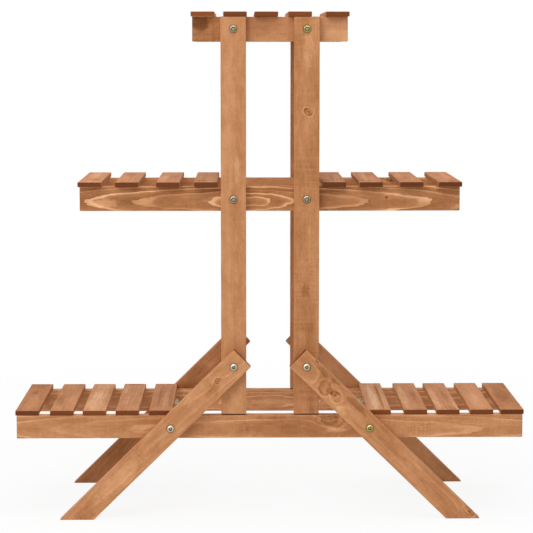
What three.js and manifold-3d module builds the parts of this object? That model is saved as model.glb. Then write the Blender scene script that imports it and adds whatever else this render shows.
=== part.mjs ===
// Tiered plant stand: a fixed, free-standing frame of stained softwood battens.
//
// Two like frames, front and back, are joined only by the slats that are nailed across them.
// A frame has two uprights standing on a long lower rail, two short rails bolted behind the
// uprights, and two slanting legs bolted outside the uprights and the lower rail.
//
// Millimetres, +Z up, +X to the right, -Y towards a viewer in front. The origin is on the
// floor at the middle of the stand.

import * as THREE from 'three';
import { mergeVertices } from 'three/addons/utils/BufferGeometryUtils.js';
import Module from 'manifold-3d';

const wasm = await Module();
wasm.setup();

// ---- Driving dimensions -------------------------------------------------------------

// Over the outer faces of the front and back legs.
const STAND_DEPTH = 250;

// Timber sections. Rails, uprights and legs are sawn from one thickness of board.
const BATTEN_THICKNESS = 15;
const UPRIGHT_WIDTH = 41;
const UPPER_RAIL_WIDTH = 40;
const LOWER_RAIL_WIDTH = 38;
const LEG_WIDTH = 39;
const SLAT_WIDTH = 38;
const SLAT_THICKNESS = 8;
const ARRIS = 0.8;                 // sanded bevel round both faces of every board

// Rails: the height of the top edge above the floor, and the length.
const LOWER_RAIL_TOP = 170;
const MIDDLE_RAIL_TOP = 543;
const TOP_RAIL_TOP = 816;
const LOWER_RAIL_LENGTH = 826;
const MIDDLE_RAIL_LENGTH = 616;
const TOP_RAIL_LENGTH = 250;

// Uprights: the distance between their centre lines.
const UPRIGHT_SPACING = 118;

// Legs: the slope from the floor, the height of the upper bolt, and the wood past it.
const LEG_SLOPE = THREE.MathUtils.degToRad(44.5);
const LEG_BOLT_HEIGHT = 252;
const LEG_END_MARGIN = 20;

// Decks of slats. The overhang is past the rail's end, and the inner gaps are from the
// uprights' outer edges to the last slat.
const LOWER_SLATS = 5;             // on each side
const MIDDLE_SLATS = 4;            // on each side
const TOP_SLATS = 5;
const SLAT_OVERHANG = 2;
const LOWER_INNER_GAP = 80;
const MIDDLE_INNER_GAP = 5;

// The slats are nailed by eye, so a deck's gaps differ. Each list holds their relative
// widths, from the deck's outer end inwards, or from left to right on the top deck.
const LOWER_LEFT_RHYTHM = [19.5, 16, 16.5, 17.5];
const LOWER_RIGHT_RHYTHM = [11, 16, 14, 20];
const MIDDLE_LEFT_RHYTHM = [22, 28, 23];
const MIDDLE_RIGHT_RHYTHM = [25, 28, 22];
const TOP_RHYTHM = [14, 12, 16, 22];

// Bolts with a cross recess in a domed head, and their hexagon nuts.
const BOLT_DIAMETER = 6;
const BOLT_END_PAST_NUT = 5;
const BOLT_END_CHAMFER = 0.8;
const HEAD_DIAMETER = 12;
const HEAD_HEIGHT = 4;
const HEAD_RIM = 1;                // the straight side below the dome
const RECESS_SPAN = 6.4;
const RECESS_WIDTH = 1.6;
const RECESS_DEPTH = 2.2;
const NUT_ACROSS_FLATS = 10;
const NUT_THICKNESS = 5;
const HOLE_CLEARANCE = 0.3;        // between the bolt and the wood, all round

// Facets of a bolt, and of a quarter of a bolt hole.
const BOLT_FACETS = 16;
const DOME_STEPS = 4;
const HOLE_QUARTER_STEPS = 4;

// ---- Sizes worked out from the driving dimensions -----------------------------------

const UPRIGHT_X = UPRIGHT_SPACING / 2;
const UPRIGHT_OUTER_X = UPRIGHT_X + UPRIGHT_WIDTH / 2;
const LOWER_RAIL_MIDDLE = LOWER_RAIL_TOP - LOWER_RAIL_WIDTH / 2;
const MIDDLE_RAIL_MIDDLE = MIDDLE_RAIL_TOP - UPPER_RAIL_WIDTH / 2;
const TOP_RAIL_MIDDLE = TOP_RAIL_TOP - UPPER_RAIL_WIDTH / 2;

// The leg crosses the middle of the lower rail here.
const LEG_RAIL_X = UPRIGHT_X + (LEG_BOLT_HEIGHT - LOWER_RAIL_MIDDLE) / Math.tan(LEG_SLOPE);

// The boards of a frame lie in three layers, counted from its outer face inwards.
const LEG_LAYER = 0;
const UPRIGHT_LAYER = 1;           // also the lower rail, which the uprights stand on
const UPPER_RAIL_LAYER = 2;

const GRIP = 2 * BATTEN_THICKNESS; // every bolt clamps two boards
const BOLT_LENGTH = GRIP + NUT_THICKNESS + BOLT_END_PAST_NUT;

// A slat's ends are flush with the outer faces of the uprights and lower rails.
const SLAT_LENGTH = STAND_DEPTH - 2 * BATTEN_THICKNESS;

const SIDES = { left: -1, right: 1 };
const FRAMES = { front: -1, back: 1 };

// ---- Finishes -----------------------------------------------------------------------

const honeyStain = () => new THREE.MeshStandardMaterial({
  color: '#bd8257', roughness: 0.55, metalness: 0,
});
const slatStain = () => new THREE.MeshStandardMaterial({
  color: '#c28b66', roughness: 0.5, metalness: 0,
});
const zincPlate = () => new THREE.MeshStandardMaterial({
  color: '#c9c6b4', roughness: 0.35, metalness: 1,
});

// ---- Shapes -------------------------------------------------------------------------

const part = new THREE.Group();

function addPiece(group, name, geometry, material) {
  const mesh = new THREE.Mesh(geometry, material);
  mesh.name = name;
  group.add(mesh);
  return mesh;
}

// A closed outline through the given [x, y] corners.
function outline(corners) {
  return new THREE.Shape(corners.map(([x, y]) => new THREE.Vector2(x, y)));
}

function rectangle(left, bottom, right, top) {
  return outline([[left, bottom], [right, bottom], [right, top], [left, top]]);
}

// A board of the given outline and thickness, with both faces bevelled by the arris. It
// lies on the XY plane and rises from z = 0.
function board(shape, thickness) {
  return new THREE.ExtrudeGeometry(shape, {
    depth: thickness - 2 * ARRIS,
    bevelThickness: ARRIS,
    bevelSize: ARRIS,
    bevelOffset: -ARRIS,
    bevelSegments: 1,
  }).translate(0, 0, ARRIS);
}

// Vertex-merged solid of a closed geometry, for joining and cutting.
function solidOf(geometry) {
  const bare = geometry.clone();
  bare.deleteAttribute('normal');
  bare.deleteAttribute('uv');
  const merged = mergeVertices(bare);
  return new wasm.Manifold(new wasm.Mesh({
    numProp: 3,
    vertProperties: merged.attributes.position.array,
    triVerts: new Uint32Array(merged.index.array),
  }));
}

function geometryOf(solid) {
  const mesh = solid.getMesh();
  const shared = new THREE.BufferGeometry();
  shared.setAttribute('position', new THREE.BufferAttribute(mesh.vertProperties, 3));
  shared.setIndex(new THREE.BufferAttribute(mesh.triVerts, 1));
  const faceted = shared.toNonIndexed();
  faceted.computeVertexNormals();
  return faceted;
}

// A board standing in a frame: its outline and bolt holes are drawn at their own X and Z,
// and its thickness runs along Y through the given layer.
function frameBoard(group, name, shape, boltHoles, frameSide, layer) {
  const flat = solidOf(board(shape, BATTEN_THICKNESS));
  const drilled = boltHoles.reduce((wood, [x, z]) => wood.subtract(drillAt(x, z)), flat);
  const mesh = addPiece(group, name, geometryOf(drilled), honeyStain());
  const outerY = STAND_DEPTH / 2 - layer * BATTEN_THICKNESS;
  mesh.rotation.x = Math.PI / 2;
  mesh.position.y = frameSide < 0 ? BATTEN_THICKNESS - outerY : outerY;
  return mesh;
}

// The drill's path through a board that still lies flat.
function drillAt(x, y) {
  const hole = new THREE.Shape();
  hole.absarc(x, y, BOLT_DIAMETER / 2 + HOLE_CLEARANCE, 0, 2 * Math.PI);
  const drill = new THREE.ExtrudeGeometry(hole, {
    depth: 3 * BATTEN_THICKNESS,
    bevelEnabled: false,
    curveSegments: 2 * HOLE_QUARTER_STEPS,
  });
  return solidOf(drill.translate(0, 0, -BATTEN_THICKNESS));
}

function rail(group, name, length, width, top, boltX, frameSide, layer) {
  const shape = rectangle(-length / 2, top - width, length / 2, top);
  const middle = top - width / 2;
  const holes = [[-boltX, middle], [boltX, middle]];
  return frameBoard(group, name, shape, holes, frameSide, layer);
}

function upright(group, name, side, frameSide) {
  const centre = side * UPRIGHT_X;
  const shape = rectangle(
    centre - UPRIGHT_WIDTH / 2, LOWER_RAIL_TOP,
    centre + UPRIGHT_WIDTH / 2, TOP_RAIL_TOP,
  );
  const heights = [TOP_RAIL_MIDDLE, MIDDLE_RAIL_MIDDLE, LEG_BOLT_HEIGHT];
  const holes = heights.map((z) => [centre, z]);
  return frameBoard(group, name, shape, holes, frameSide, UPRIGHT_LAYER);
}

// A leg runs down and outwards from just past the upper bolt, where it is cut square, to
// the floor, where it is cut level.
function leg(group, name, side, frameSide) {
  const along = new THREE.Vector2(Math.cos(LEG_SLOPE), -Math.sin(LEG_SLOPE));
  const across = new THREE.Vector2(Math.sin(LEG_SLOPE), Math.cos(LEG_SLOPE));
  const top = new THREE.Vector2(UPRIGHT_X, LEG_BOLT_HEIGHT)
    .addScaledVector(along, -LEG_END_MARGIN);
  const edge = (offset) => {
    const start = top.clone().addScaledVector(across, offset);
    const foot = start.clone().addScaledVector(along, start.y / Math.sin(LEG_SLOPE));
    return [[side * start.x, start.y], [side * foot.x, 0]];
  };
  const [topOut, footOut] = edge(LEG_WIDTH / 2);
  const [topIn, footIn] = edge(-LEG_WIDTH / 2);
  const shape = outline([footIn, footOut, topOut, topIn]);
  const holes = [[side * UPRIGHT_X, LEG_BOLT_HEIGHT], [side * LEG_RAIL_X, LOWER_RAIL_MIDDLE]];
  return frameBoard(group, name, shape, holes, frameSide, LEG_LAYER);
}

// A bolt with its nut run on. It lies along +Y, with the underside of the head at y = 0,
// the dome towards +y and the nut at the far side of the grip.
function boltShape() {
  const shank = BOLT_DIAMETER / 2;
  const head = HEAD_DIAMETER / 2;
  const profile = [
    [0, -BOLT_LENGTH],
    [shank - BOLT_END_CHAMFER, -BOLT_LENGTH],
    [shank, BOLT_END_CHAMFER - BOLT_LENGTH],
    [shank, 0],
    [head, 0],
  ];
  for (let step = 0; step < DOME_STEPS; step += 1) {
    const angle = (step / DOME_STEPS) * (Math.PI / 2);
    const rise = (HEAD_HEIGHT - HEAD_RIM) * Math.sin(angle);
    profile.push([head * Math.cos(angle), HEAD_RIM + rise]);
  }
  profile.push([0, HEAD_HEIGHT]);
  const turned = new THREE.LatheGeometry(
    profile.map(([x, y]) => new THREE.Vector2(x, y)), BOLT_FACETS,
  );
  const corner = NUT_ACROSS_FLATS / Math.sqrt(3);
  const nut = new THREE.CylinderGeometry(corner, corner, NUT_THICKNESS, 6)
    .translate(0, -GRIP - NUT_THICKNESS / 2, 0);
  const slotHeight = 2 * RECESS_DEPTH;
  const slot = new THREE.BoxGeometry(RECESS_SPAN, slotHeight, RECESS_WIDTH)
    .translate(0, HEAD_HEIGHT, 0);
  const crossSlot = slot.clone().rotateY(Math.PI / 2);
  const solid = solidOf(turned)
    .add(solidOf(nut))
    .subtract(solidOf(slot))
    .subtract(solidOf(crossSlot));
  return geometryOf(solid);
}

// Bolts a pair of boards together at x, z, with the head on the outer face of a layer.
function bolt(group, name, x, z, frameSide, layer) {
  const mesh = addPiece(group, name, boltShape(), zincPlate());
  mesh.position.set(x, frameSide * (STAND_DEPTH / 2 - layer * BATTEN_THICKNESS), z);
  if (frameSide < 0) mesh.rotation.z = Math.PI;
  return mesh;
}

// One frame, front or back, with its bolts.
function frame(where) {
  const group = new THREE.Group();
  const side = FRAMES[where];
  rail(group, `lower_rail_${where}`, LOWER_RAIL_LENGTH, LOWER_RAIL_WIDTH,
    LOWER_RAIL_TOP, LEG_RAIL_X, side, UPRIGHT_LAYER);
  rail(group, `middle_rail_${where}`, MIDDLE_RAIL_LENGTH, UPPER_RAIL_WIDTH,
    MIDDLE_RAIL_TOP, UPRIGHT_X, side, UPPER_RAIL_LAYER);
  rail(group, `top_rail_${where}`, TOP_RAIL_LENGTH, UPPER_RAIL_WIDTH,
    TOP_RAIL_TOP, UPRIGHT_X, side, UPPER_RAIL_LAYER);
  for (const [hand, sign] of Object.entries(SIDES)) {
    upright(group, `upright_${where}_${hand}`, sign, side);
    leg(group, `leg_${where}_${hand}`, sign, side);
    const at = `${where}_${hand}`;
    const uprightX = sign * UPRIGHT_X;
    bolt(group, `bolt_top_rail_${at}`, uprightX, TOP_RAIL_MIDDLE, side, UPRIGHT_LAYER);
    bolt(group, `bolt_middle_rail_${at}`, uprightX, MIDDLE_RAIL_MIDDLE, side, UPRIGHT_LAYER);
    bolt(group, `bolt_leg_upright_${at}`, uprightX, LEG_BOLT_HEIGHT, side, LEG_LAYER);
    bolt(group, `bolt_leg_rail_${at}`, sign * LEG_RAIL_X, LOWER_RAIL_MIDDLE, side, LEG_LAYER);
  }
  return group;
}

// Where each slat of a deck starts, measured from the deck's own start. What the slats
// leave free is shared among the gaps by the rhythm.
function slatStarts(count, length, rhythm) {
  const weights = [];
  for (let gap = 0; gap < count - 1; gap += 1) weights.push(rhythm[gap % rhythm.length]);
  const whole = weights.reduce((sum, weight) => sum + weight, 0);
  const starts = [0];
  for (const weight of weights) {
    const gap = (length - count * SLAT_WIDTH) * (weight / whole);
    starts.push(starts[starts.length - 1] + SLAT_WIDTH + gap);
  }
  return starts;
}

// A deck that starts at the outer end of its rails and runs inwards along direction.
function deck(name, count, startX, length, direction, railTop, rhythm) {
  const group = new THREE.Group();
  group.position.z = railTop;
  slatStarts(count, length, rhythm).forEach((start, index) => {
    const geometry = board(
      rectangle(-SLAT_WIDTH / 2, -SLAT_LENGTH / 2, SLAT_WIDTH / 2, SLAT_LENGTH / 2),
      SLAT_THICKNESS,
    );
    const slat = addPiece(group, `${name}_${index + 1}`, geometry, slatStain());
    slat.position.x = startX + direction * (start + SLAT_WIDTH / 2);
  });
  return group;
}

// ---- Assembly -----------------------------------------------------------------------

for (const where of Object.keys(FRAMES)) part.add(frame(where));

const LOWER_END_X = LOWER_RAIL_LENGTH / 2 + SLAT_OVERHANG;
const LOWER_DECK_LENGTH = LOWER_END_X - UPRIGHT_OUTER_X - LOWER_INNER_GAP;
part.add(deck('slat_lower_left', LOWER_SLATS, -LOWER_END_X, LOWER_DECK_LENGTH, 1,
  LOWER_RAIL_TOP, LOWER_LEFT_RHYTHM));
part.add(deck('slat_lower_right', LOWER_SLATS, LOWER_END_X, LOWER_DECK_LENGTH, -1,
  LOWER_RAIL_TOP, LOWER_RIGHT_RHYTHM));

const MIDDLE_END_X = MIDDLE_RAIL_LENGTH / 2 + SLAT_OVERHANG;
const MIDDLE_DECK_LENGTH = MIDDLE_END_X - UPRIGHT_OUTER_X - MIDDLE_INNER_GAP;
part.add(deck('slat_middle_left', MIDDLE_SLATS, -MIDDLE_END_X, MIDDLE_DECK_LENGTH, 1,
  MIDDLE_RAIL_TOP, MIDDLE_LEFT_RHYTHM));
part.add(deck('slat_middle_right', MIDDLE_SLATS, MIDDLE_END_X, MIDDLE_DECK_LENGTH, -1,
  MIDDLE_RAIL_TOP, MIDDLE_RIGHT_RHYTHM));

const TOP_END_X = TOP_RAIL_LENGTH / 2 + SLAT_OVERHANG;
part.add(deck('slat_top', TOP_SLATS, -TOP_END_X, 2 * TOP_END_X, 1,
  TOP_RAIL_TOP, TOP_RHYTHM));

export default part;
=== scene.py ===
"""Tiered plant stand of stained fir battens, bolted and nailed, in a white studio.

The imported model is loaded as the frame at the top. Every batten, slat, bolt, nut and nail
is then modelled at the place that its CAD node gives. Lengths are in metres unless a name
ends in _MM. +Z is up, +X is to the right, and -Y is towards a viewer in front.
"""

import math
import random
from contextlib import contextmanager
from functools import partial

import bmesh
import bpy
from mathutils import Matrix, Vector


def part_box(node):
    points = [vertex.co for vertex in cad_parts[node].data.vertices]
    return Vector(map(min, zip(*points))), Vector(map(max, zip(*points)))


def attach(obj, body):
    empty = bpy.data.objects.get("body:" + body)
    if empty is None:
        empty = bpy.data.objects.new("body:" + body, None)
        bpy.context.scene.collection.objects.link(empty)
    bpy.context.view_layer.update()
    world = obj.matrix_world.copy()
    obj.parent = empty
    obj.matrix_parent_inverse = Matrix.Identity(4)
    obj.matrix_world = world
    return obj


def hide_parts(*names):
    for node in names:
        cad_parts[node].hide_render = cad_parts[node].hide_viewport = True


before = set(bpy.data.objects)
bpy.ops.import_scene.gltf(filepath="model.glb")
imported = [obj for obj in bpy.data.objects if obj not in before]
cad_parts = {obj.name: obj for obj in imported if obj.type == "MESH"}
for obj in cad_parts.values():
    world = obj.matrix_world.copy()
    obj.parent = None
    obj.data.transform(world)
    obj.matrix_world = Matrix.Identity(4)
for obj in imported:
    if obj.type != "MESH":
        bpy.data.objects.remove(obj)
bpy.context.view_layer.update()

bl_info = {
    "name": "Tiered plant stand",
    "version": (1, 0, 0),
    "blender": (4, 5, 0),
    "location": "3D View > Sidebar > Plant stand",
    "description": "Builds a tiered plant stand of stained fir battens",
    "category": "Add Mesh",
}

MM = 0.001
RIGHT = Vector((1, 0, 0))
BACK = Vector((0, 1, 0))
UP = Vector((0, 0, 1))

FRAMES = {"front": -1, "back": 1}
HANDS = {"left": -1, "right": 1}
CORNERS = [(where, hand) for where in FRAMES for hand in HANDS]
DECKS = {"lower_left": 5, "lower_right": 5, "middle_left": 4, "middle_right": 4, "top": 5}

# Fir as it grows, in millimetres of log.
RING_MM = 2.7
KNOTS_PER_BOARD = 3
PATCHES_PER_BOARD = 3
NO_KNOT = (9999.0, 0.0, 10.0, 10.0, 0.0, 0.0)
NO_PATCH = (9999.0, 0.0, 10.0, 10.0, 0.0)

# Boards whose figure can be told apart, in millimetres. pith is its distance across and
# behind the middle of the board, tilt and bow bend the log along it about centre, and sway
# is how far the rings wander. tone is how much paler the stain is, and strength, fibre and
# chatter are how far the late wood, the fibres and the planer's marks show. A knot is
# (along, across, half length, half width, pull on the rings, darkness), and a patch is
# (along, across, half length, half width, darkness), all from the middle of the board, or
# from the upper bolt of a leg.
FIGURES = {
    "middle_rail_front": dict(
        pith=(-5.0, 40.5), tilt=0.0, bow=6.5e-5, centre=-22.0, sway=0.2, tone=-0.06,
        strength=1.5, chatter=0.5, fibre=0.5,
        knots=[(189, 2, 2.6, 2.2, 0.4, 1.7), (275, 14, 5, 1.4, 0.0, 1.2),
               (-27, -4, 26, 9, -4.5, 0.15)],
        # The last patch is painted shadow: a darker band along the top of the rail, under the
        # overhanging slats.
        patches=[(-268, -7, 26, 7, -0.22), (-96, -3, 16, 6, -0.12), (-40, 16, 240, 7, 0.1)]),
    "top_rail_front": dict(
        pith=(60.0, 20.0), tilt=0.004, tone=0.04, strength=0.2, chatter=0.9, fibre=0.4,
        # Its first two patches darken the left end: partly a real smudge, partly painted shadow of
        # the top slat above it.
        patches=[(-104, 0, 40, 34, 0.17), (-113, 10, 18, 12, 0.3), (98, -2, 46, 30, -0.14)]),
    "lower_rail_front": dict(
        pith=(-4.0, 51.3), tilt=0.0, bow=3.0e-5, centre=60.0, sway=0.3, tone=0.03, strength=0.8,
        chatter=1.0, fibre=0.45,
        knots=[(97, 14, 13, 11, 3.6, 0.9), (116, -1, 9, 4, 1.0, 0.4)],
        patches=[(41, -3, 92, 25, 0.13), (108, -6, 18, 4, -0.22), (300, 3, 62, 9, -0.06)]),
    "lower_rail_back": dict(
        pith=(-2.0, 45.0), tilt=0.001, sway=0.3, tone=0.05, strength=0.8, fibre=0.5,
        knots=[(-4, -1, 36, 9, -3.6, 0.1)]),
    "upright_front_left": dict(
        pith=(70.0, 24.0), tilt=0.002, tone=0.05, strength=0.1, chatter=0.3, fibre=0.3,
        patches=[(78, 6, 26, 5, -0.12), (200, -6, 90, 10, -0.07), (-60, 4, 130, 12, 0.06)]),
    "upright_front_right": dict(
        pith=(-34.0, 50.0), tilt=0.01, tone=-0.02, strength=0.16, chatter=1.2, fibre=0.35,
        knots=[(171, 3, 6.5, 7.5, 2.6, 1.6), (258, 6, 11, 4, 1.2, 0.15)],
        patches=[(-117, -2, 12, 7, 0.14), (272, 3, 34, 9, -0.12), (-250, 8, 120, 9, 0.08)]),
    "upright_back_left": dict(strength=0.2),
    "upright_back_right": dict(strength=0.2),
    "leg_front_left": dict(
        pith=(8.0, 50.0), tilt=0.012, tone=0.04, strength=0.35, chatter=0.5, fibre=0.45,
        knots=[(35, 2.5, 5, 4, 2.2, 1.3)],
        patches=[(258, 0, 66, 11, -0.13), (345, -3, 24, 13, 0.1), (52, -4, 15, 9, 0.12)]),
    "leg_front_right": dict(
        pith=(-5.0, 52.0), tilt=0.008, tone=0.02, strength=0.35, chatter=0.8, fibre=0.45,
        knots=[(47, -4, 12, 10, 3.4, 0.9), (68, -2, 9, 7.5, 2.6, 1.1),
               (358, 15, 9, 6, 1.5, 0.9)],
        patches=[(98, 11, 26, 6, 0.2), (36, 14, 26, 6, 0.14), (80, -11, 22, 5, -0.14)]),
    "leg_back_left": dict(tone=-0.06, strength=0.2, fibre=0.3),
    "leg_back_right": dict(tone=0.09, strength=0.2, fibre=0.3),
    "middle_rail_back": dict(
        pith=(10.0, 40.0), tilt=0.005, tone=-0.01, strength=0.6, chatter=0.6,
        knots=[(213, 16, 9, 7, 2.4, 1.3)]),
    "slat_top_1": dict(tone=0.2),
    "slat_top_4": dict(tone=0.07),
    "slat_middle_left_1": dict(tone=-0.07),
    "slat_middle_left_2": dict(tone=-0.1),
    "slat_middle_left_3": dict(tone=-0.08),
    "slat_middle_left_4": dict(tone=-0.1),
    "slat_middle_right_1": dict(tone=-0.17),
    "slat_middle_right_2": dict(tone=-0.16),
    "slat_middle_right_3": dict(tone=-0.16),
    "slat_middle_right_4": dict(tone=-0.19),
    "slat_lower_left_1": dict(tone=-0.12, strength=0.2, patches=[
        (-46, 2, 60, 9, -0.1), (36, -4, 14, 6, 0.14), (100, 0, 30, 14, 0.06)]),
    "slat_lower_left_2": dict(tone=-0.05, strength=0.15),
    "slat_lower_left_3": dict(tone=0.05, strength=0.25, patches=[
        (-30, -3, 90, 10, -0.12), (10, 15, 90, 4, 0.08), (115, 0, 12, 16, 0.06)]),
    "slat_lower_left_4": dict(tone=-0.03, strength=0.25, patches=[
        (108, 0, 12, 14, 0.2), (-10, -7, 70, 6, -0.07), (-116, 4, 10, 12, 0.1)]),
    "slat_lower_left_5": dict(
        pith=(30.0, 22.0), tilt=0.002, tone=-0.05, strength=0.24, fibre=0.5,
        patches=[(0, -6, 90, 3, 0.1), (-20, 4, 70, 4, -0.1), (0, 13, 100, 3, 0.1)]),
    "slat_lower_right_1": dict(tone=-0.16, strength=0.15, patches=[
        (10, 0, 60, 15, 0.1), (-90, 2, 30, 14, -0.03), (60, -10, 50, 5, -0.04)]),
    "slat_lower_right_2": dict(tone=-0.03, strength=0.15, patches=[(-40, 0, 80, 12, -0.08)]),
    "slat_lower_right_3": dict(tone=-0.05, strength=0.3, patches=[
        (-10, -12, 100, 6, -0.16), (20, 8, 60, 7, 0.08), (-100, 6, 20, 9, 0.05)]),
    "slat_lower_right_4": dict(tone=-0.02, strength=0.25, patches=[
        (0, -11, 90, 7, -0.14), (10, 7, 70, 6, 0.1), (-110, 4, 14, 10, 0.06)]),
    "slat_lower_right_5": dict(
        pith=(26.0, 24.0), tilt=0.003, tone=0.05, strength=0.26, fibre=0.5,
        patches=[(0, 8, 120, 2.6, 0.26), (-20, -4, 100, 7, -0.2), (-112, 0, 8, 18, 0.2)]),
}

HALF_BATTEN_MM = 7.5

# Where an arris broke off in handling: (board, along, across, size), in millimetres.
CHIPS = [
    ("leg_front_right", 6.0, 19.5, 3.2),
    ("leg_front_right", 343.0, -19.0, 2.8),
    ("upright_front_right", -68.0, 20.5, 2.2),
]

YELLOW_BOLTS = {"bolt_top_rail_front_right", "bolt_leg_rail_front_right"}


def linear(colour):
    """Turns an sRGB hex colour into linear red, green and blue."""
    levels = [int(colour[i:i + 2], 16) / 255 for i in (1, 3, 5)]
    return [v / 12.92 if v <= 0.04045 else ((v + 0.055) / 1.055) ** 2.4 for v in levels]


OLIVE_ZINC = linear("#a49c70")      # thin passivated zinc at the bottom of a recess


def length_of(name, description, millimetres, least=0):
    """A length property whose default and least value are given in millimetres."""
    return bpy.props.FloatProperty(
        name=name, description=description, default=millimetres * MM, min=least * MM,
        unit="LENGTH", subtype="DISTANCE")


def colour_of(name, description, colour):
    """A colour property whose default is given as an sRGB hex colour."""
    return bpy.props.FloatVectorProperty(
        name=name, description=description, default=linear(colour), size=3, min=0, max=1,
        subtype="COLOR")


class StandSizes(bpy.types.PropertyGroup):
    """Sizes that the CAD model leaves to the finished pieces."""

    arris: length_of("Arris", "Radius that sanding left on the edges of a batten", 1.0, 0.2)
    strip: length_of("Strip", "Length of batten between two sections of its mesh", 24, 5)
    unevenness: length_of("Unevenness", "How far sawing and sanding wander", 0.12)
    leg_width: length_of("Leg width", "Width of the broad face of a leg", 39)
    leg_margin: length_of("Leg margin", "Wood of a leg past its upper bolt", 20)
    bolt_diameter: length_of("Bolt diameter", "Diameter over the thread", 6)
    hole_clearance: length_of("Hole clearance", "Gap all round between bolt and wood", 0.3)
    head_diameter: length_of("Head diameter", "Diameter of the domed bolt head", 12)
    head_height: length_of("Head height", "Height of the domed bolt head", 3.85)
    crush_width: length_of("Crush width", "Wood pressed down round a bolt head", 0.8)
    crush_depth: length_of("Crush depth", "How far that wood is pressed down", 0.7)
    recess_depth: length_of("Recess depth", "Depth of the recess below the top of the head", 2.2)
    foot_gap: length_of("Foot gap", "Open joint between an upright and the lower rail", 1.5)
    nut_width: length_of("Nut width", "Distance across the flats of the hexagon nut", 10)
    nut_thickness: length_of("Nut thickness", "Thickness of the hexagon nut", 5)
    nail_head: length_of("Nail head", "Diameter of the head of a panel nail", 1.9)


class StandColours(bpy.types.PropertyGroup):
    """Colours of the stain and of the plating."""

    frame_stain: colour_of("Frame stain", "Honey stain on the rails, uprights and legs", "#b87d51")
    slat_stain: colour_of("Slat stain", "Slightly pinker stain on the slats", "#bc7e4f")
    end_grain: colour_of("End grain", "Stain that has soaked into the sawn ends", "#703a14")
    zinc: colour_of("Zinc", "Clear zinc plating on the bolts of the legs", "#c9c0b0")
    dull_zinc: colour_of("Dull zinc", "Greyer zinc plating on the uprights' bolts", "#b0a394")
    yellow_zinc: colour_of("Yellow zinc", "Zinc plating with a yellow passivation", "#b2aa70")
    # Painted light: the nuts are the same yellow zinc as the yellow bolts, made lighter to stand
    # for light on them in the shade behind the front frame.
    nut: colour_of("Nut", "The brighter yellow zinc of the nuts", "#e3d7a6")
    nail: colour_of("Nail", "Steel nail heads that the stain has coated", "#8a6a4c")
    # Painted shade: this dark colour goes on the walls of the cross recess.
    recess: colour_of("Recess", "Thinly plated steel inside the cross recess", "#4a4424")


# ---- Materials ----

# Noise over a log: each layer's size across and along the grain in millimetres, and detail.
LOG_NOISE = {
    "sway": (42.0, 230.0, 1.0),     # the slow wander of the rings
    "flutter": (9.0, 55.0, 2.0),    # their small unevenness
    "tear": (2.4, 15.0, 2.0),       # ragged ends of the flames
    "cloud": (22.0, 70.0, 3.0),     # uneven take-up of the stain
    "mottle": (7.0, 15.0, 2.0),     # its small blotches
    "fade": (26.0, 100.0, 1.0),     # where the late wood shows more or less
    "planer": (60.0, 3.6, 1.0),     # marks of the planer's knives
    "patch": (40.0, 50.0, 1.0),     # where those marks bite
    "speck": (2.8, 3.6, 3.0),       # grime and pores
    "lump": (7.0, 8.0, 1.0),        # the uneven outline of patches
    "swirl": (17.0, 19.0, 1.5),     # and of knots
    "blotch": (8.0, 11.0, 2.0),     # where knots are darker or paler
}
FIBRE_SCALE = (1 / 1.7, 1 / 1.7, 1 / 40)
SWAY_REACH = (7.0, 7.0, 0.0)
KNOT_WOBBLE = (1.15, 1.15, 0.0)
ACROSS_GRAIN = (1.0, 1.0, 0.0)

# How dark a knot is from its heart outwards, and how pale the wood grows through a year.
KNOT_RINGS = (
    (0.0, 0.92), (0.07, 0.74), (0.16, 0.42), (0.25, 0.54), (0.33, 0.44), (0.4, 0.66),
    (0.46, 0.62), (0.54, 0.24), (0.62, 0.17), (0.72, 0.34), (0.9, 0.3))
KNOT_REACH = 0.45       # part of those stops that one half width takes up
KNOT_PLAIN = 0.3        # the level that leaves the wood as it is
YEAR_RING = ((0.0, 0.16), (0.08, 0.28), (0.5, 0.36), (0.74, 0.5), (0.83, 1.0), (0.96, 0.95))
YEAR_PLAIN = 0.38


def node(tree, kind, inputs=(), **settings):
    """Adds a shader node with its settings. inputs holds values, outputs, or nodes whose
    first output in use is meant, by socket or else in the order of the sockets in use."""
    made = tree.nodes.new(f"ShaderNode{kind}")
    for name, value in settings.items():
        setattr(made, name, value)
    if isinstance(inputs, dict):
        pairs = [(made.inputs[socket], value) for socket, value in inputs.items()]
    else:
        pairs = zip([socket for socket in made.inputs if socket.enabled], inputs)
    for socket, value in pairs:
        if isinstance(value, bpy.types.Node):
            value = next(output for output in value.outputs if output.enabled)
        if isinstance(value, bpy.types.NodeSocket):
            tree.links.new(value, socket)
        else:
            socket.default_value = value
    return made


def empty_material(name):
    """A material without any nodes."""
    material = bpy.data.materials.new(name)
    material.use_nodes = True
    material.node_tree.nodes.clear()
    return material


def shaded(colour, gain):
    """The same colour, lighter or darker by a factor, as red, green, blue and alpha."""
    return [min(1.0, channel * gain) for channel in colour] + [1.0]


def set_ramp(ramp_node, stops):
    """Fills a colour ramp with (position, colour) stops. A single level stands for a grey."""
    elements = ramp_node.color_ramp.elements
    while len(elements) < len(stops):
        elements.new(0.5)
    for element, (position, colour) in zip(elements, stops):
        element.position = position
        element.color = [colour] * 3 + [1] if isinstance(colour, float) else colour


def stain_stops(stain, richness):
    """Stops from deep stain, which is redder and richer, to pale wood, nearer to cream."""
    stops = []
    for position, gain in ((0.0, 0.3), (0.3, 0.66), (0.5, 1.0), (0.72, 1.36), (1.0, 1.8)):
        green = gain ** (richness * (0.28 if gain < 1 else 0.5))
        blue = gain ** richness
        tinted = (stain[0], stain[1] * green, stain[2] * blue)
        stops.append((position, shaded(tinted, gain)))
    return stops


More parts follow.
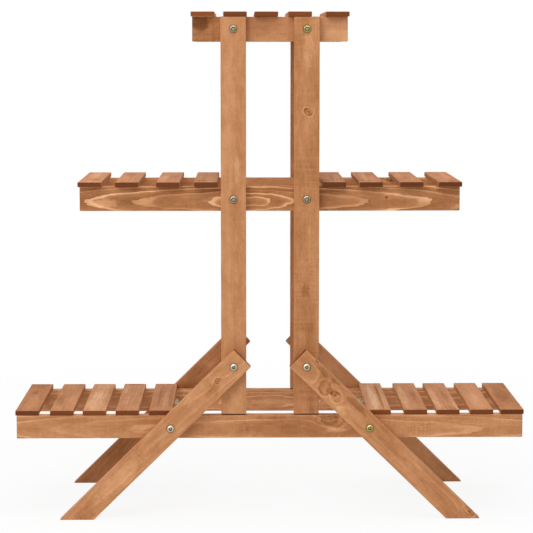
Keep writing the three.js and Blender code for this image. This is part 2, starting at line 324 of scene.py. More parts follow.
def stained_fir(name, stain, end_colour, richness, unevenness):
    """Sawn and planed fir under a honey-brown stain. The soft early wood drinks the stain
    and turns brown, and the dense late wood keeps pale, so flames and lines show light on
    brown. Fine fibres, cloudy take-up of the stain and marks of the planer lie over them,
    sawn ends are nearly dark brown, and arrises are paler, partly as wear and partly as a
    painted highlight. The sheen is low."""
    add = partial(node, empty_material(name).node_tree)
    place = add("Attribute", attribute_name="log_place").outputs["Vector"]
    split = {}
    for attribute in ("board_look", "board_grain", "knot_pull", "knot_dark", "patch_dark"):
        read = add("Attribute", attribute_name=attribute).outputs["Vector"]
        split[attribute] = add("SeparateXYZ", [read]).outputs
    tone, strength, chatter = split["board_look"]
    wander, stringy, _ = split["board_grain"]
    layers = {}
    for layer, (across, along, detail) in LOG_NOISE.items():
        scale = (1 / across, 1 / across, 1 / along)
        mapped = add("Mapping", {"Vector": place, "Scale": scale})
        layers[layer] = add("TexNoise", {
            "Vector": mapped, "Scale": 1.0, "Detail": detail, "Roughness": 0.55})

    # Distance from the pith, with the rings swaying.
    sway, wobble = [
        add("VectorMath", (layers[layer].outputs["Color"], (0.5, 0.5, 0.5)), operation="SUBTRACT")
        for layer in ("sway", "swirl")]
    sway = add("VectorMath", (sway, wander), operation="SCALE")
    swayed = add("VectorMath", (sway, SWAY_REACH, place), operation="MULTIPLY_ADD")
    crosswise = add("VectorMath", (swayed, ACROSS_GRAIN), operation="MULTIPLY")
    radius = add("VectorMath", [crosswise], operation="LENGTH")
    for layer, reach in (("flutter", 1.3), ("tear", 0.5)):
        radius = add("Math", (layers[layer], reach, radius), operation="MULTIPLY_ADD")

    # Knots draw the rings round them. Each has a dark heart and rim and a pale halo, all
    # lopsided and broken. Patches are where the stain has soaked in or was wiped off, and a
    # few are painted shade where slats shadow a rail.
    lump = add("Math", (layers["lump"], 0.5), operation="SUBTRACT")
    broken = add("MapRange", (layers["blotch"], 0.3, 0.7, 0.0, 1.1))
    pulled = near = blots_and_shade = 0.0
    for index in range(KNOTS_PER_BOARD):
        offset = add("Attribute", attribute_name=f"knot_{index + 1}").outputs["Vector"]
        lopsided = add("VectorMath", (wobble, KNOT_WOBBLE, offset), operation="MULTIPLY_ADD")
        distance = add("VectorMath", [lopsided], operation="LENGTH")
        squared = add("Math", (distance, distance), operation="MULTIPLY")
        fallen = add("Math", (squared, -0.3), operation="MULTIPLY")
        swell = add("Math", [fallen], operation="EXPONENT")
        outwards = add("Math", (distance, KNOT_REACH), operation="MULTIPLY")
        rings = add("ValToRGB", [outwards])
        set_ramp(rings, KNOT_RINGS)
        level = add("Math", (rings, KNOT_PLAIN), operation="SUBTRACT")
        level = add("Math", (level, broken), operation="MULTIPLY")
        pull, dark = split["knot_pull"][index], split["knot_dark"][index]
        pulled, near, blots_and_shade = [
            add("Math", terms, operation="MULTIPLY_ADD")
            for terms in ((swell, pull, pulled), (swell, dark, near), (level, dark, blots_and_shade))]
    for index in range(PATCHES_PER_BOARD):
        offset = add("Attribute", attribute_name=f"patch_{index + 1}").outputs["Vector"]
        distance = add("VectorMath", [offset], operation="LENGTH")
        uneven = add("Math", (lump, 1.1, distance), operation="MULTIPLY_ADD")
        inside = add("MapRange", (uneven, 1.2, 0.55), interpolation_type="SMOOTHSTEP")
        blots_and_shade = add("Math", (inside, split["patch_dark"][index], blots_and_shade), operation="MULTIPLY_ADD")
    radius = add("Math", (radius, pulled), operation="ADD")

    # Year rings: wide brown early wood, then a pale band of late wood with a crisp end.
    years = add("Math", (radius, RING_MM), operation="DIVIDE")
    season = add("Math", [years], operation="FRACT")
    year = add("Math", [years], operation="FLOOR")
    growth = add("TexWhiteNoise", [year], noise_dimensions="1D")
    band = add("ValToRGB", [season])
    set_ramp(band, YEAR_RING)
    late = add("Math", (band, YEAR_PLAIN), operation="SUBTRACT")
    vigour = add("MapRange", (growth, 0.0, 1.0, 0.45, 1.25))
    fade = add("MapRange", (layers["fade"], 0.32, 0.6, 0.3, 1.0))
    clear = add("Math", (near, 0.25, strength), operation="MULTIPLY_ADD")
    for factor in (vigour, fade, clear):
        late = add("Math", (late, factor), operation="MULTIPLY")

    # Fibres run with the sway of the grain and bend round the knots. They are really
    # 0.05 mm wide and are drawn coarse enough to show.
    bent = add("CombineXYZ", [pulled])
    bent = add("VectorMath", (swayed, bent), operation="ADD")
    mapped = add("Mapping", {"Vector": bent, "Scale": FIBRE_SCALE})
    fibre = add("TexNoise", {
        "Vector": mapped, "Scale": 1.0, "Detail": 3.0, "Roughness": 0.6})
    fibre = add("Math", (fibre, 0.5), operation="SUBTRACT")
    strings = add("Math", (fibre, stringy), operation="MULTIPLY")

    # Marks of the planer, in patches.
    bite = add("MapRange", (layers["patch"], 0.42, 0.66))
    marks = add("Math", (layers["planer"], 0.5), operation="SUBTRACT")
    for factor in (bite, chatter):
        marks = add("Math", (marks, factor), operation="MULTIPLY")

    # Everything that lightens or darkens the stain, added up. 0.5 is the plain stain.
    take_up = {"cloud": 0.44, "mottle": 0.24, "speck": 0.2}
    base = 0.5 - sum(take_up.values()) * unevenness / 2
    shade = add("Math", (tone, base), operation="ADD")
    terms = [(late, 0.6), (marks, 0.22), (strings, 0.42), (blots_and_shade, -1.0)]
    terms += [(layers[layer], gain * unevenness) for layer, gain in take_up.items()]
    for value, gain in terms:
        shade = add("Math", (value, gain, shade), operation="MULTIPLY_ADD")
    wood = add("ValToRGB", [shade])
    set_ramp(wood, stain_stops(stain, richness))

    # Sawn ends, and arrises made paler as wear and as a painted highlight, over the stain.
    ends, arris_wear_and_highlight = [add("Attribute", attribute_name=attribute).outputs["Fac"]
                  for attribute in ("end_grain", "arris")]
    soaked = add("Math", (tone, 3.0, layers["speck"]), operation="MULTIPLY_ADD")
    sawn = add("Mix", (soaked, shaded(end_colour, 0.7), shaded(end_colour, 1.45)),
               data_type="RGBA")
    rub_and_highlight = add("MapRange", (layers["flutter"], 0.35, 0.7, 0.05, 0.45))
    wear_and_highlight = add("Math", (arris_wear_and_highlight, rub_and_highlight), operation="MULTIPLY")
    ended = add("Mix", (ends, wood, sawn), data_type="RGBA")
    finished = add("Mix", (wear_and_highlight, ended, shaded(stain, 1.5)), data_type="RGBA")

    # The relief of late wood, fibres and planer marks, and their uneven sheen.
    height = add("Math", (fibre, 0.5, late), operation="MULTIPLY_ADD")
    height = add("Math", (marks, height), operation="ADD")
    relief = add("Bump", {"Height": height, "Strength": 0.5, "Distance": 0.25 * MM})
    sheen = add("MapRange", (shade, 0.2, 0.9, 0.66, 0.5))
    sheen = add("Math", (arris_wear_and_highlight, 0.3, sheen), operation="MULTIPLY_ADD")
    surface = add("BsdfPrincipled", {
        "Base Color": finished, "Roughness": sheen, "Normal": relief, "IOR": 1.45,
        "Specular IOR Level": 0.25})
    add("OutputMaterial", [surface])


def plated_steel(name, colour, recess_wall_shade):
    """Cold-headed steel, barrel-plated with zinc. It is bright and slightly cloudy, with
    fine tumbling scratches. The bottom of the recess is olive, and its walls are painted
    dark as the shade that falls inside the recess."""
    add = partial(node, empty_material(name).node_tree)
    place = add("TexCoord").outputs["Object"]
    cloud = add("TexNoise", {"Vector": place, "Scale": 1 / (3.0 * MM), "Detail": 3.0})
    scratch_place = add("Mapping", {
        "Vector": place, "Scale": (1 / (2.4 * MM), 1 / (0.5 * MM), 1 / (0.4 * MM))})
    scratches = add("TexNoise", {"Vector": scratch_place, "Scale": 1.0, "Detail": 2.0})
    tint = add("Mix", (cloud, shaded(colour, 0.6), shaded(colour, 1.15)), data_type="RGBA")
    recess_tint_and_shade = add("Attribute", attribute_name="recess_tint_and_shade").outputs["Fac"]
    # Olive zinc on the bottom of the recess, and painted shade on its walls.
    depth = add("ValToRGB", [recess_tint_and_shade])
    set_ramp(depth, ((0.5, shaded(OLIVE_ZINC, 1.0)), (1.0, shaded(recess_wall_shade, 1.0))))
    inside = add("Math", (recess_tint_and_shade, 2.0), operation="MULTIPLY", use_clamp=True)
    tint = add("Mix", (inside, tint, depth), data_type="RGBA")
    dull = add("MapRange", (cloud, 0.3, 0.7, 0.5, 0.32))
    relief = add("Bump", {"Height": scratches, "Strength": 0.5, "Distance": 0.03 * MM})
    surface = add("BsdfPrincipled", {
        "Base Color": tint, "Metallic": 1.0, "Roughness": dull, "Normal": relief})
    add("OutputMaterial", [surface])


def material_for(name):
    """The named material, made when it is first asked for."""
    colours = bpy.context.scene.stand_colours
    woods = {
        "honey_stained_fir": (colours.frame_stain, colours.end_grain, 0.9, 0.88),
        "pink_brown_stained_fir": (colours.slat_stain, colours.end_grain, 1.5, 0.62),
    }
    metals = {
        "zinc_plated_steel": colours.zinc,
        "dull_zinc_plated_steel": colours.dull_zinc,
        "yellow_zinc_steel": colours.yellow_zinc,
        "yellow_zinc_painted_lighter": colours.nut,
        "stain_coated_steel": colours.nail,
    }
    if name not in bpy.data.materials:
        if name in woods:
            stained_fir(name, *woods[name])
        else:
            plated_steel(name, metals[name], colours.recess)
    return bpy.data.materials[name]


# ---- Modelling ----

SHARP_EDGE = 0.6            # radians between two faces that make an arris
END_LEAN = 0.55             # a face turned this far along the board is a sawn end
FLAT_FACE = 0.985           # a face turned this far out belongs to a side of the board
NEARLY_PARALLEL = 0.99      # how far an edge runs along the board to be cut
LOOKS_DOWN = -0.9           # how far down a face that faces down is turned
NAIL_SPREAD_MM = 10         # from the middle of a slat to a nail
NAIL_WANDER_MM = 2


def only(obj):
    """Selects obj alone and makes it active."""
    bpy.ops.object.select_all(action="DESELECT")
    obj.select_set(True)
    bpy.context.view_layer.objects.active = obj


def settle(obj):
    """Puts an object's place, turn and scale into its mesh."""
    only(obj)
    bpy.ops.object.transform_apply(location=True, rotation=True, scale=True)


def added(primitive_add, name, **shape):
    """A new primitive, named and settled."""
    primitive_add(**shape)
    obj = bpy.context.active_object
    obj.name = obj.data.name = name
    settle(obj)
    return obj


def block(name, low, high):
    """A box between two corners, ready to be shaped."""
    return added(bpy.ops.mesh.primitive_cube_add, name, size=1, location=(low + high) / 2,
                 scale=high - low)


@contextmanager
def editing(obj):
    """Edit mode for obj alone, which starts with all of it selected."""
    only(obj)
    bpy.ops.object.mode_set(mode="EDIT")
    bpy.ops.mesh.select_all(action="SELECT")
    yield
    bpy.ops.object.mode_set(mode="OBJECT")


def pick(obj, kind, test):
    """In edit mode, selects just the edges or the faces that pass the test."""
    bpy.ops.mesh.select_mode(type=kind)
    bpy.ops.mesh.select_all(action="DESELECT")
    mesh = bmesh.from_edit_mesh(obj.data)
    for part in mesh.edges if kind == "EDGE" else mesh.faces:
        if test(part):
            part.select_set(True)
    bmesh.update_edit_mesh(obj.data)


def faces_down(face):
    """Whether a face looks down."""
    return face.normal.z < LOOKS_DOWN


def extrude_down(distance):
    """In edit mode, draws the selected faces out downwards."""
    bpy.ops.mesh.extrude_region_move(TRANSFORM_OT_translate={"value": (0, 0, -distance)})


def taper(share):
    """In edit mode, narrows the selected faces to a share of their width."""
    bpy.ops.transform.resize(value=(share, share, 1))


def cut_away(obj, tool, operation="DIFFERENCE"):
    """Applies a boolean with the tool, and removes the tool."""
    only(obj)
    modifier = obj.modifiers.new("Cut", "BOOLEAN")
    modifier.operation = operation
    modifier.solver = "EXACT"
    modifier.object = tool
    bpy.ops.object.modifier_apply(modifier=modifier.name)
    bpy.data.objects.remove(tool)


def joined(objects):
    """Joins objects into the first one."""
    bpy.ops.object.select_all(action="DESELECT")
    for obj in objects:
        obj.select_set(True)
    bpy.context.view_layer.objects.active = objects[0]
    if len(objects) > 1:
        bpy.ops.object.join()
    return objects[0]


def drill(obj, centres, direction, radius, length=60 * MM):
    """Bores straight holes into obj, centred on the given points."""
    turn = direction.to_track_quat("Z", "Y").to_euler()
    bits = [
        added(bpy.ops.mesh.primitive_cylinder_add, "drill", vertices=32, radius=radius,
              depth=length, location=centre, rotation=turn)
        for centre in centres]
    cut_away(obj, joined(bits))


def length_cuts(obj, along, length):
    """Cuts a block into strips along its length, so that its surfaces can wander along it."""
    count = max(1, round(length / bpy.context.scene.stand_sizes.strip))
    with editing(obj):
        pick(obj, "EDGE",
             lambda e: abs((e.verts[1].co - e.verts[0].co).normalized() @ along)
             > NEARLY_PARALLEL)
        bpy.ops.mesh.subdivide(number_cuts=count - 1)


def soften(obj, seed):
    """Rounds the sharp edges and lets the surfaces wander as sawing and sanding do."""
    sizes = bpy.context.scene.stand_sizes
    with editing(obj):
        pick(obj, "EDGE", lambda e: len(e.link_faces) == 2 and e.calc_face_angle() > SHARP_EDGE)
        bpy.ops.mesh.bevel(offset=sizes.arris, segments=3, profile=0.5, affect="EDGES")
        bpy.ops.mesh.select_all(action="SELECT")
        bpy.ops.transform.vertex_random(offset=sizes.unevenness, uniform=1.0, seed=seed)


def even_shading(obj, angle=math.radians(50)):
    """Shades curves smooth and keeps large flat faces flat."""
    only(obj)
    bpy.ops.object.shade_smooth_by_angle(angle=angle)
    modifier = obj.modifiers.new("Normals", "WEIGHTED_NORMAL")
    modifier.keep_sharp = True
    bpy.ops.object.modifier_apply(modifier=modifier.name)


def break_off(obj, centre, size, seed):
    """Takes a splinter off an arris."""
    splinter = added(bpy.ops.mesh.primitive_ico_sphere_add, "splinter", subdivisions=2,
                     radius=size, location=centre)
    with editing(splinter):
        bpy.ops.transform.vertex_random(offset=0.25 * size, uniform=1.0, seed=seed)
    cut_away(obj, splinter)


def write_vectors(mesh, name, vectors):
    """Stores a vector for each point of a mesh."""
    attribute = mesh.attributes.new(name, "FLOAT_VECTOR", "POINT")
    attribute.data.foreach_set("vector", [part for vector in vectors for part in vector])


def write_levels(mesh, name, levels):
    """Stores a number for each face of a mesh."""
    mesh.attributes.new(name, "FLOAT", "FACE").data.foreach_set("value", levels)


def usual_figure(name):
    """Figure for a board that FIGURES doesn't single out, always the same for one name."""
    between = random.Random(name).uniform
    strong = 0.45 if name.startswith("slat") else 0.8
    return dict(
        pith=(between(-30, 30), between(24, 62)),
        tilt=between(-0.008, 0.008),
        bow=between(-2e-5, 4e-5),
        centre=between(-60, 60),
        sway=between(0.5, 1.0),
        tone=between(-0.06, 0.05),
        strength=between(0.3, 1.0) * strong,
        fibre=between(0.35, 0.8),
        chatter=between(0.3, 0.9),
        knots=[],
        patches=[
            (between(-60, 60), between(-12, 12), between(50, 90), between(5, 10),
             -between(0.05, 0.14)),
            (between(-95, 95), between(-14, 14), between(16, 50), between(5, 12),
             between(0.04, 0.13)),
        ],
    )


def grow(obj, node_name, middle, along, across, outward):
    """Says where each point of a batten lay in its log, and which faces are sawn ends."""
    draw = random.Random(node_name + " log")
    figure = {**usual_figure(node_name), **FIGURES.get(node_name, {})}
    stretch = draw.uniform(0, 40) * 1000    # every board is cut from a fresh part of a log
    pith_across, depth = figure["pith"]
    mesh = obj.data
    spots_uv = []
    places = []
    for vertex in mesh.vertices:
        offset = (vertex.co - middle) / MM
        u, v, w = offset @ along, offset @ across, offset @ outward
        bend = figure["tilt"] * u + figure["bow"] * (u - figure["centre"]) ** 2
        spots_uv.append((u, v))
        places.append((v - pith_across, depth + w + bend, u + stretch))
    write_vectors(mesh, "log_place", places)
    knots = (figure["knots"] + [NO_KNOT] * KNOTS_PER_BOARD)[:KNOTS_PER_BOARD]
    patches = (figure["patches"] + [NO_PATCH] * PATCHES_PER_BOARD)[:PATCHES_PER_BOARD]
    for kind, spots in (("knot", knots), ("patch", patches)):
        for index, (along_spot, across_spot, half_length, half_width, *_) in enumerate(spots):
            offsets = [((u - along_spot) / half_length, (v - across_spot) / half_width, 0)
                       for u, v in spots_uv]
            write_vectors(mesh, f"{kind}_{index + 1}", offsets)
    for attribute, values in (
        ("board_look", (figure["tone"], figure["strength"], figure["chatter"])),
        ("board_grain", (figure["sway"], figure["fibre"], 0)),
        ("knot_pull", [knot[4] for knot in knots]),
        ("knot_dark", [knot[5] for knot in knots]),
        ("patch_dark", [patch[4] for patch in patches]),
    ):
        write_vectors(mesh, attribute, [values] * len(places))
    ends = []
    arris_wear_and_highlight = []
    for face in mesh.polygons:
        sawn = abs(face.normal @ along) > END_LEAN
        turned_out = max(abs(face.normal @ across), abs(face.normal @ outward))
        ends.append(float(sawn))
        # Arris faces, which the stain paints paler as wear and as a painted highlight.
        arris_wear_and_highlight.append(float(not sawn and turned_out < FLAT_FACE))
    write_levels(mesh, "end_grain", ends)
    write_levels(mesh, "arris", arris_wear_and_highlight)


def finish_piece(obj, slot, material, *nodes):
    """Gives a piece its finish and its body, and hides the nodes that it stands for. slot is not
    used.
    """
    obj.data.materials.clear()
    obj.data.materials.append(material_for(material))
    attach(obj, "root")
    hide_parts(*nodes)


def bolt_centres(*names):
    """Where the axes of bolts cross the plane of the frame."""
    return [sum(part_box(name), Vector()) / 2 for name in names]


def batten(node_name, blank, middle, along, across, outward, holes, crushed=()):
    """Finishes a sawn blank into a batten of a frame: arrises, bolt holes and figure. The
    wood is crushed round the bolt heads that are drawn into it."""
    sizes = bpy.context.scene.stand_sizes
    soften(blank, len(node_name) + round(middle.x / MM) % 97)
    for index, (board, u, v, size) in enumerate(CHIPS):
        if board == node_name:
            edge = middle + (along * u + across * v + outward * HALF_BATTEN_MM) * MM
            break_off(blank, edge, size * MM, index)
    drill(blank, holes, BACK, sizes.bolt_diameter / 2 + sizes.hole_clearance)
    if crushed:
        low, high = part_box(node_name)
        face = low.y if outward.y < 0 else high.y
        rings = [Vector((hole.x, face, hole.z)) for hole in crushed]
        drill(blank, rings, BACK, sizes.head_diameter / 2 + sizes.crush_width,
              2 * sizes.crush_depth)
    even_shading(blank)
    grow(blank, node_name, middle, along, across, outward)
    finish_piece(blank, "frame_wood", "honey_stained_fir", node_name)


def blank_in_box(node_name, along, foot_gap=0):
    """A blank in a CAD node's box, held in by what the surfaces may wander."""
    slack = Vector((1, 1, 1)) * bpy.context.scene.stand_sizes.unevenness
    low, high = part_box(node_name)
    blank = block(f"{node_name}_wood", low + slack + UP * foot_gap, high - slack)
    length_cuts(blank, along, (high - low) @ along)
    return blank, (low + high) / 2


def build_rail(tier, where):
    """One horizontal rail, from the box of its CAD node."""
    node_name = f"{tier}_rail_{where}"
    blank, middle = blank_in_box(node_name, RIGHT)
    bolts = "leg_rail" if tier == "lower" else f"{tier}_rail"
    holes = bolt_centres(*[f"bolt_{bolts}_{where}_{hand}" for hand in HANDS])
    batten(node_name, blank, middle, RIGHT, UP, BACK * FRAMES[where], holes)


def build_upright(where, hand):
    """One upright, which ends a hair above the lower rail, with an open dark joint."""
    node_name = f"upright_{where}_{hand}"
    blank, middle = blank_in_box(node_name, UP, bpy.context.scene.stand_sizes.foot_gap)
    holes = bolt_centres(*[f"bolt_{joint}_{where}_{hand}"
                           for joint in ("top_rail", "middle_rail", "leg_upright")])
    batten(node_name, blank, middle, UP, RIGHT, BACK * FRAMES[where], holes, holes[:2])


def build_leg(where, hand):
    """One leg: square-cut past its upper bolt and level-cut on the floor."""
    sizes = bpy.context.scene.stand_sizes
    node_name = f"leg_{where}_{hand}"
    low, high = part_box(node_name)
    upper, lower = bolt_centres(f"bolt_leg_upright_{where}_{hand}",
                                f"bolt_leg_rail_{where}_{hand}")
    upper.y = lower.y = (low.y + high.y) / 2
    along = (lower - upper).normalized()
    across = BACK.cross(along) * HANDS[hand]
    if across.z < 0:
        across = -across
    start = upper - along * sizes.leg_margin
    reach = (start.z + sizes.leg_width) / -along.z
    slack = sizes.unevenness
    half = Vector((reach / 2, (high.y - low.y) / 2 - slack, sizes.leg_width / 2 - slack))
    blank = block(f"{node_name}_wood", -half, half)
    length_cuts(blank, RIGHT, reach)
    turned = Matrix((along, BACK, along.cross(BACK))).transposed().to_4x4()
    blank.matrix_world = Matrix.Translation(start + along * (reach / 2 + slack)) @ turned
    settle(blank)
    with editing(blank):
        bpy.ops.mesh.bisect(plane_co=(0, 0, slack), plane_no=UP, use_fill=True,
                            clear_inner=True)
    holes = [upper, lower]
    batten(node_name, blank, upper, along, across, BACK * FRAMES[where], holes, holes)


def build_slat(deck, number):
    """One slat with the dimples of its nails, and the nails themselves."""
    sizes = bpy.context.scene.stand_sizes
    dimple_depth = 1.2 * MM
    sunk = 0.45 * MM
    node_name = f"slat_{deck}_{number}"
    draw = random.Random(node_name + " nails")
    blank, middle = blank_in_box(node_name, BACK)
    soften(blank, number)
    rail_low, rail_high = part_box(f"{deck.split('_')[0]}_rail_back")
    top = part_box(node_name)[1].z
    nails = []
    dimples = []
    for side in FRAMES.values():
        for step in (-1, 1):
            aside, along = [draw.uniform(-NAIL_WANDER_MM, NAIL_WANDER_MM) for _ in range(2)]
            x = middle.x + step * (NAIL_SPREAD_MM + aside) * MM
            y = side * ((rail_low.y + rail_high.y) / 2 + along * MM)
            dimples.append(added(
                bpy.ops.mesh.primitive_cone_add, "dimple", vertices=12,
                radius1=0.5 * sizes.nail_head, radius2=0.85 * sizes.nail_head,
                depth=dimple_depth, location=(x, y, top)))
            nails.append(nail(Vector((x, y, top - sunk))))
    cut_away(blank, joined(dimples))
    even_shading(blank)
    grow(blank, node_name, middle, BACK, RIGHT, UP)
    finish_piece(blank, "slat_wood", "pink_brown_stained_fir", node_name)
    heads = joined(nails)
    heads.name = heads.data.name = f"{node_name}_nails"
    finish_piece(heads, "zinc", "stain_coated_steel", node_name)


def nail(top):
    """A panel nail driven down from its head at top: head, shank and point."""
    head, overhang, shank, point = 0.6 * MM, 0.3 * MM, 22 * MM, 1.6 * MM
    obj = added(bpy.ops.mesh.primitive_cylinder_add, "nail", vertices=10,
                radius=bpy.context.scene.stand_sizes.nail_head / 2, depth=head,
                location=top - UP * head / 2)
    with editing(obj):
        pick(obj, "FACE", faces_down)
        bpy.ops.mesh.inset(thickness=overhang)
        extrude_down(shank)
        extrude_down(point)
        taper(0.15)
    return obj


def recess_tool(depth, span, width, turn):
    """A tapered wing of the cross recess, pointing down from z = 0."""
    obj = added(bpy.ops.mesh.primitive_cube_add, "recess", size=1, rotation=(0, 0, turn),
                scale=(span, width, 2 * depth))
    with editing(obj):
        pick(obj, "FACE", faces_down)
        taper(0.5)
    return obj


def thread(radius, pitch, start, length):
    """A helical ridge round +Z from start downwards, closed at both ends."""
    ridge, sunk = 0.5 * pitch, 0.46 * pitch
    obj = added(bpy.ops.mesh.primitive_circle_add, "thread", vertices=3, radius=ridge,
                location=(radius - sunk, 0, start - length),
                rotation=(math.pi / 2, math.pi / 2, 0), fill_type="NOTHING")
    modifier = obj.modifiers.new("Helix", "SCREW")
    modifier.axis = "Z"
    modifier.steps = modifier.render_steps = 16
    modifier.screw_offset = pitch
    modifier.iterations = round(length / pitch) - 1
    bpy.ops.object.modifier_apply(modifier=modifier.name)
    middle = start - length / 2
    with editing(obj):
        bpy.ops.mesh.remove_doubles(threshold=1e-6)
        for low_end in (True, False):
            pick(obj, "EDGE",
                 lambda e: e.is_boundary and (e.verts[0].co.z < middle) == low_end)
            bpy.ops.mesh.edge_face_add()
        bpy.ops.mesh.select_all(action="SELECT")
        bpy.ops.mesh.normals_make_consistent(inside=False)
    return obj


def model_bolt(grip, length, cross, funnel):
    """A bolt along +Z with the underside of its domed head at z = 0. cross is the length
    and width of its cross recess, and funnel is the narrow and the wide radius of the
    funnel that leads into it."""
    sizes = bpy.context.scene.stand_sizes
    rim, round_off = 0.8 * MM, 0.25 * MM
    pitch, root_depth, tip = 1.0 * MM, 0.35 * MM, 0.7 * MM
    level, dent = 0.01 * MM, 0.12 * MM
    underside = 50 * MM ** 2    # less than the area under the head
    funnel_middle = sizes.head_height - 0.45 * sizes.recess_depth
    dome_height = sizes.head_height - rim
    radius = sizes.head_diameter / 2
    shank = sizes.bolt_diameter / 2
    plain = grip - 4 * MM       # the thread starts inside the wood
    threaded = length - plain - tip
    head = added(bpy.ops.mesh.primitive_uv_sphere_add, "bolt", segments=40, ring_count=24,
                 radius=1, scale=(radius, radius, dome_height))
    with editing(head):
        bpy.ops.mesh.bisect(plane_co=(0, 0, 0), plane_no=UP, use_fill=True, clear_inner=True)
        bpy.ops.mesh.select_all(action="SELECT")
        bpy.ops.transform.translate(value=(0, 0, rim))
        pick(head, "FACE", faces_down)
        extrude_down(rim)
        pick(head, "EDGE", lambda e: all(v.co.z < level for v in e.verts))
        bpy.ops.mesh.bevel(offset=round_off, segments=2, affect="EDGES")
        pick(head, "FACE", lambda f: faces_down(f) and f.calc_area() > underside)
        bpy.ops.mesh.inset(thickness=radius - round_off - shank)
        extrude_down(plain)
        bpy.ops.mesh.inset(thickness=root_depth)
        extrude_down(threaded)
        extrude_down(tip)
        taper(0.75)
    for turn in (0, math.pi / 2):
        tool = recess_tool(sizes.recess_depth, *cross, turn)
        tool.location.z = sizes.head_height
        settle(tool)
        cut_away(head, tool)
    cut_away(head, added(
        bpy.ops.mesh.primitive_cone_add, "funnel", vertices=30, radius1=funnel[0],
        radius2=funnel[1], depth=sizes.recess_depth, location=(0, 0, funnel_middle)))
    # Faces in the recess: 0.5 on its flat bottoms for the olive zinc, 1.0 on its walls for painted
    # shade.
    recess_tint_and_shade = []
    for face in head.data.polygons:
        middle = face.center
        out = middle.xy.length_squared / radius ** 2
        dome = dome_height * math.sqrt(max(0.0, 1 - out)) + rim
        sunk = 0 < middle.z < dome - dent
        recess_tint_and_shade.append(sunk * (0.5 if face.normal.z > -LOOKS_DOWN else 1.0))
    ridge = thread(shank, pitch, -plain, threaded - pitch)
    write_levels(head.data, "recess_tint_and_shade", recess_tint_and_shade)
    return joined([head, ridge])


def model_nut():
    """A hexagon nut round +Z from z = 0 down, with chamfered corners."""
    sizes = bpy.context.scene.stand_sizes
    chamfer, clearance = 0.7 * MM, 0.03 * MM
    at = Vector((0, 0, -sizes.nut_thickness / 2))
    nut, turned = [
        added(bpy.ops.mesh.primitive_cylinder_add, name, vertices=vertices,
              radius=sizes.nut_width / math.sqrt(3), depth=sizes.nut_thickness, location=at)
        for name, vertices in (("nut", 6), ("turned", 48))]
    with editing(turned):
        pick(turned, "EDGE", lambda e: e.calc_face_angle() > SHARP_EDGE)
        bpy.ops.mesh.bevel(offset=chamfer, segments=2, affect="EDGES")
    cut_away(nut, turned, "INTERSECT")
    drill(nut, [at], UP, sizes.bolt_diameter / 2 + clearance)
    return nut


def place_copy(template, name, matrix, material, node_name):
    """A copy of a template with its own mesh, put in place and finished."""
    obj = template.copy()
    obj.data = template.data.copy()
    obj.name = obj.data.name = name
    bpy.context.collection.objects.link(obj)
    obj.matrix_world = matrix
    settle(obj)
    even_shading(obj, math.radians(35))
    finish_piece(obj, "zinc", material, node_name)


# ---- Operators ----


class BuildRails(bpy.types.Operator):
    """Builds the six horizontal rails"""

    bl_idname = "plant_stand.rails"
    bl_label = "Rails"

    def execute(self, context):
        for where in FRAMES:
            for tier in ("lower", "middle", "top"):
                build_rail(tier, where)
        return {"FINISHED"}


class BuildUprights(bpy.types.Operator):
    """Builds the four uprights"""

    bl_idname = "plant_stand.uprights"
    bl_label = "Uprights"

    def execute(self, context):
        for where, hand in CORNERS:
            build_upright(where, hand)
        return {"FINISHED"}


class BuildLegs(bpy.types.Operator):
    """Builds the four slanting legs"""

    bl_idname = "plant_stand.legs"
    bl_label = "Legs"

    def execute(self, context):
        for where, hand in CORNERS:
            build_leg(where, hand)
        return {"FINISHED"}


class BuildSlats(bpy.types.Operator):
    """Builds the slats of all five decks, with their nails"""

    bl_idname = "plant_stand.slats"
    bl_label = "Slats and nails"

    def execute(self, context):
        for deck, count in DECKS.items():
            for number in range(1, count + 1):
                build_slat(deck, number)
        return {"FINISHED"}


class BuildBolts(bpy.types.Operator):
    """Builds the bolts and their nuts"""

    bl_idname = "plant_stand.bolts"
    bl_label = "Bolts and nuts"

    def execute(self, context):
        leg_low, leg_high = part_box("leg_front_left")
        grip = 2 * (leg_high.y - leg_low.y)
        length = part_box("bolt_leg_rail_front_left")[1].y - leg_low.y
        bolts = {
            "leg": model_bolt(
                grip, length, cross=(6.8 * MM, 2.0 * MM), funnel=(1.4 * MM, 3.2 * MM)),
            "upright": model_bolt(
                grip, length, cross=(4.4 * MM, 1.1 * MM), funnel=(2.5 * MM, 4.7 * MM)),
        }
        coats = {"leg": "zinc_plated_steel", "upright": "dull_zinc_plated_steel"}
        nut = model_nut()
        for where, side in FRAMES.items():
            for hand in HANDS:
                for joint in ("top_rail", "middle_rail", "leg_upright", "leg_rail"):
                    name = f"bolt_{joint}_{where}_{hand}"
                    draw = random.Random(name)
                    board = "leg" if joint.startswith("leg") else "upright"
                    low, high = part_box(f"{board}_{where}_{hand}")
                    centre = bolt_centres(name)[0]
                    centre.y = low.y if side < 0 else high.y
                    facing = (BACK * side).to_track_quat("Z", "Y").to_matrix().to_4x4()
                    spun, twist = [
                        facing @ Matrix.Rotation(draw.uniform(0, turn), 4, "Z")
                        for turn in (math.pi / 2, math.pi / 3)]
                    coat = "yellow_zinc_steel" if name in YELLOW_BOLTS else coats[board]
                    place_copy(bolts[board], f"{name}_screw",
                               Matrix.Translation(centre) @ spun, coat, name)
                    back = centre - BACK * side * grip
                    # The nuts take the yellow zinc made lighter, as painted light.
                    place_copy(nut, f"{name}_nut", Matrix.Translation(back) @ twist,
                               "yellow_zinc_painted_lighter", name)
        for template in (*bolts.values(), nut):
            bpy.data.objects.remove(template)
        return {"FINISHED"}


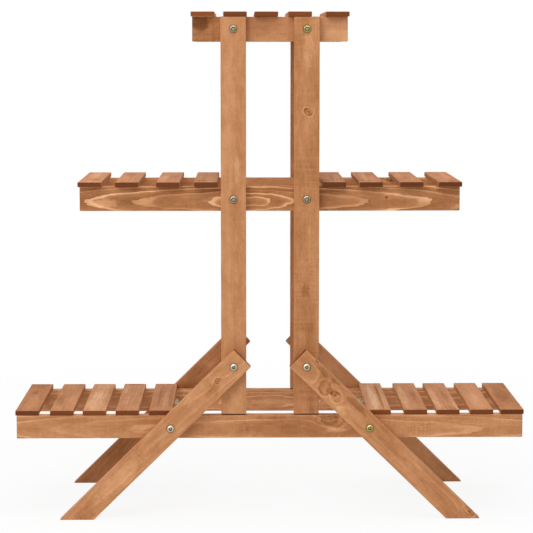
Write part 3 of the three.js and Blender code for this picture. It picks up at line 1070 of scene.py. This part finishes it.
class BuildStage(bpy.types.Operator):
    """Builds the white floor, the studio light and the camera"""

    bl_idname = "plant_stand.stage"
    bl_label = "Stage"

    def execute(self, context):
        self.floor()
        self.world(context)
        self.lights()
        self.camera(context)
        return {"FINISHED"}

    def floor(self):
        """White paper that keeps a soft shadow near the stand and fades to pure white."""
        hair = 0.2 * MM     # between the paper and the feet
        floor = added(bpy.ops.mesh.primitive_plane_add, "floor", size=24,
                      location=(0, 0, -hair))
        material = empty_material("white_paper")
        add = partial(node, material.node_tree)
        place = add("TexCoord").outputs["Object"]
        away = add("VectorMath", [place], operation="LENGTH")
        fade_start, fade_end, near_white = 0.5, 1.4, 0.89
        white_share = add("MapRange", (away, fade_start, fade_end, near_white, 1.0))
        rays = add("LightPath").outputs
        seen = add("Math", (rays["Is Camera Ray"], white_share), operation="MULTIPLY")
        paper = add("BsdfDiffuse", {"Color": (0.86, 0.86, 0.86, 1)})
        white = add("Emission", {"Strength": 1.0})
        mixed = add("MixShader", (seen, paper, white))
        add("OutputMaterial", [mixed])
        floor.data.materials.append(material)

    def world(self, context):
        """Even light from all round, and pure white wherever the background is seen."""
        world = bpy.data.worlds.new("white_studio")
        world.use_nodes = True
        world.node_tree.nodes.clear()
        add = partial(node, world.node_tree)
        rays = add("LightPath").outputs
        seen = rays["Is Camera Ray"]
        for kind in ("Is Glossy Ray", "Is Transmission Ray"):
            seen = add("Math", (seen, rays[kind]), operation="MAXIMUM")
        light, seen_white = 0.44, 1.0
        strength = add("MapRange", (seen, 0.0, 1.0, light, seen_white))
        sky = add("Background", ((1, 1, 1, 1), strength))
        add("OutputWorld", [sky])
        context.scene.world = world

    def lights(self):
        """A large soft box up on the left in front, and one overhead."""
        for name, place, target, size, power in (
            ("key_light", (-1.7, -2.6, 2.3), (0, 0, 0.4), 2.0, 50),
            ("top_light", (0.2, -0.4, 2.9), (0, 0, 0.3), 2.4, 52),
        ):
            aim = Vector(target) - Vector(place)
            bpy.ops.object.light_add(type="AREA", location=place,
                                     rotation=aim.to_track_quat("-Z", "Y").to_euler())
            lamp = bpy.context.active_object
            lamp.name = lamp.data.name = name
            lamp.data.shape = "SQUARE"
            lamp.data.size = size
            lamp.data.energy = power

    def camera(self, context):
        """A long lens a little above the top deck, looking slightly down."""
        pitch = math.radians(5.656)
        yaw = math.radians(0.818)
        bpy.ops.object.camera_add(location=(-0.0445, -2.8208, 0.7693),
                                  rotation=(math.pi / 2 - pitch, 0, -yaw))
        camera = bpy.context.active_object
        camera.name = camera.data.name = "camera"
        camera.data.sensor_width = 36
        camera.data.lens = 114.14
        camera.data.shift_y = -0.10
        camera.data.clip_end = 60
        context.scene.camera = camera
        context.scene.view_settings.view_transform = "Standard"


class StandPanel(bpy.types.Panel):
    """Buttons for the pieces of the stand"""

    bl_idname = "VIEW3D_PT_plant_stand"
    bl_label = "Plant stand"
    bl_space_type = "VIEW_3D"
    bl_region_type = "UI"
    bl_category = "Plant stand"

    def draw(self, context):
        for operator in OPERATORS:
            self.layout.operator(operator.bl_idname)
        for group in (context.scene.stand_sizes, context.scene.stand_colours):
            for name in group.__annotations__:
                self.layout.prop(group, name)


OPERATORS = (BuildRails, BuildUprights, BuildLegs, BuildSlats, BuildBolts, BuildStage)
CLASSES = (StandSizes, StandColours, *OPERATORS, StandPanel)


def register():
    for cls in CLASSES:
        bpy.utils.register_class(cls)
    bpy.types.Scene.stand_sizes = bpy.props.PointerProperty(type=StandSizes)
    bpy.types.Scene.stand_colours = bpy.props.PointerProperty(type=StandColours)


def unregister():
    del bpy.types.Scene.stand_colours
    del bpy.types.Scene.stand_sizes
    for cls in reversed(CLASSES):
        bpy.utils.unregister_class(cls)


def main():
    register()
    bpy.ops.plant_stand.rails()
    bpy.ops.plant_stand.uprights()
    bpy.ops.plant_stand.legs()
    bpy.ops.plant_stand.slats()
    bpy.ops.plant_stand.bolts()
    bpy.ops.plant_stand.stage()


if __name__ == "__main__":
    main()
